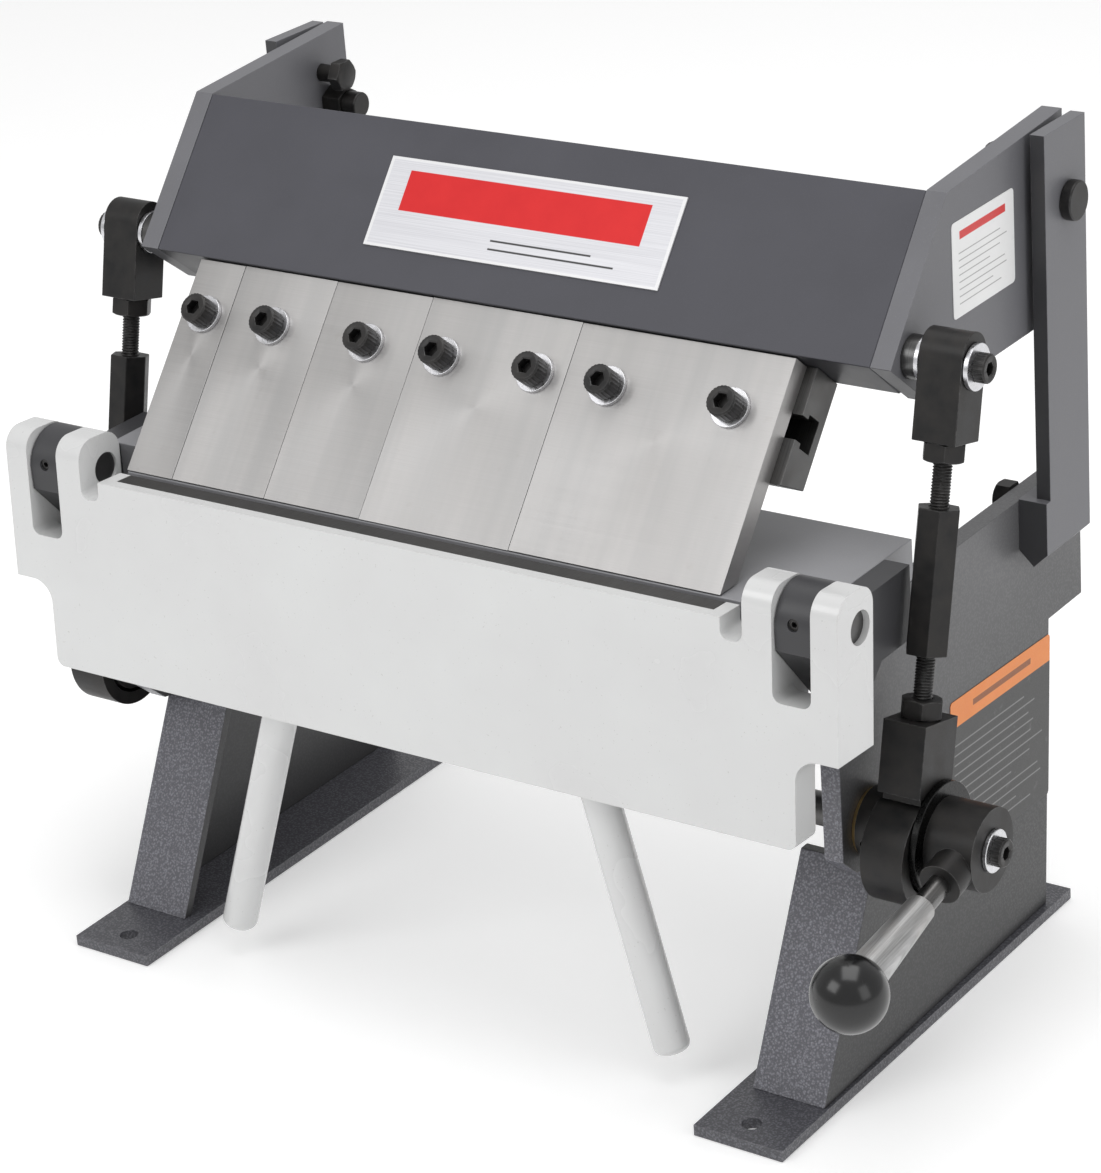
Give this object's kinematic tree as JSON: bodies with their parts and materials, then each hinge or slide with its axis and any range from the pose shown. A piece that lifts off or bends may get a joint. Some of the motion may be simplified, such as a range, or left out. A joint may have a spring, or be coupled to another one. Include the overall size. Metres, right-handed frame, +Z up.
{
  "type": "sheet metal brake",
  "caption": "Bench box-and-pan brake: a hinged beam with removable fingers clamps sheet on a bed, and a swinging apron with two handles folds it; an eccentric lever works the links.",
  "frame": {"origin": "centre of the four foot bolt holes, on the underside of the feet", "axes": "+X along the bend towards the lever, -Y towards the operator, +Z up"},
  "size_m": [0.4794, 0.2988, 0.3666],
  "materials": {
    "frame_paint": "satin dark grey paint",
    "hammered_paint": "hammered dark blue-grey paint",
    "apron_paint": "gloss off-white paint",
    "ground_steel": "surface-ground steel",
    "dark_steel": "oiled machined steel",
    "black_steel": "black oxide",
    "bright_steel": "bright zinc plate",
    "bronze": "plain bearing bronze",
    "plate_metal": "printed aluminium sheet",
    "knob_plastic": "polished black"
  },
  "bodies": {
    "frame": {"left_foot_plate": "hammered_paint", "right_foot_plate": "hammered_paint", "left_leg": "hammered_paint", "right_leg": "hammered_paint", "bed": "frame_paint", "left_upright": "frame_paint", "right_upright": "frame_paint", "upright_screws": "black_steel", "left_hinge_block": "frame_paint", "right_hinge_block": "frame_paint", "hinge_pins": "dark_steel", "hinge_set_screws": "black_steel", "pivot_bolts": "black_steel", "pivot_nuts": "black_steel", "shaft_bushes": "bronze"},
    "apron": {"apron": "apron_paint", "apron_edge_strip": "dark_steel", "fold_handles": "apron_paint"},
    "beam": {"beam_plate": "frame_paint", "left_arm": "frame_paint", "right_arm": "frame_paint", "finger_bar": "dark_steel", "finger_25": "ground_steel", "finger_51_a": "ground_steel", "finger_51_b": "ground_steel", "finger_76": "ground_steel", "finger_102": "ground_steel", "finger_washers": "bright_steel", "finger_screws": "black_steel", "clamp_nuts": "dark_steel", "name_plate": "plate_metal", "arm_lock_screws": "black_steel", "link_pins": "dark_steel", "link_pin_washers": "bright_steel", "link_pin_screws": "black_steel"},
    "lever": {"cross_shaft": "dark_steel", "left_eccentric": "black_steel", "right_eccentric": "black_steel", "shaft_collars": "black_steel", "lever_hub": "black_steel", "lever_rod": "dark_steel", "lever_grip": "dark_steel", "lever_knob": "knob_plastic", "shaft_end_washers": "bright_steel", "shaft_end_screws": "black_steel"},
    "left_link": {"left_top_block": "black_steel", "left_top_stud": "black_steel", "left_jam_nuts": "black_steel", "left_strap": "black_steel", "left_bottom_stud": "black_steel"},
    "left_sleeve": {"left_sleeve": "black_steel"},
    "right_link": {"right_top_block": "black_steel", "right_top_stud": "black_steel", "right_jam_nuts": "black_steel", "right_strap": "black_steel", "right_bottom_stud": "black_steel"},
    "right_sleeve": {"right_sleeve": "black_steel"}
  },
  "joints": [
    {"name": "apron_fold", "type": "hinge", "parent": "frame", "child": "apron", "pos_m": [0, -0.081, 0.224], "axis": [-1, 0, 0], "range_deg": [0, 60]},
    {"name": "beam_lift", "type": "hinge", "parent": "frame", "child": "beam", "pos_m": [0, 0.113, 0.333], "axis": [-1, 0, 0], "range_deg": [0, 4.71]},
    {"name": "lever_turn", "type": "hinge", "parent": "frame", "child": "lever", "pos_m": [0, -0.041, 0.117], "axis": [-1, 0, 0], "range_deg": [0, 80]},
    {"name": "left_link_pivot", "type": "hinge", "parent": "beam", "child": "left_link", "pos_m": [-0.2085, -0.001, 0.303], "axis": [-1, 0, 0], "range_deg": [-5.01, 0]},
    {"name": "right_link_pivot", "type": "hinge", "parent": "beam", "child": "right_link", "pos_m": [0.2085, -0.001, 0.303], "axis": [-1, 0, 0], "range_deg": [-5.01, 0]},
    {"name": "left_sleeve_turn", "type": "hinge", "parent": "left_link", "child": "left_sleeve", "pos_m": [-0.2085, -0.02368, 0.20775], "axis": [0, 0.2316, 0.9728], "range_deg": [-180, 180]},
    {"name": "right_sleeve_turn", "type": "hinge", "parent": "right_link", "child": "right_sleeve", "pos_m": [0.2085, -0.02368, 0.20775], "axis": [0, 0.2316, 0.9728], "range_deg": [-180, 180]}
  ],
  "couplings": [
    {"joint": "lever_turn", "follows": "beam_lift", "ratio": 16.983},
    {"joint": "left_link_pivot", "follows": "beam_lift", "ratio": -1.0616},
    {"joint": "right_link_pivot", "follows": "beam_lift", "ratio": -1.0616}
  ]
}
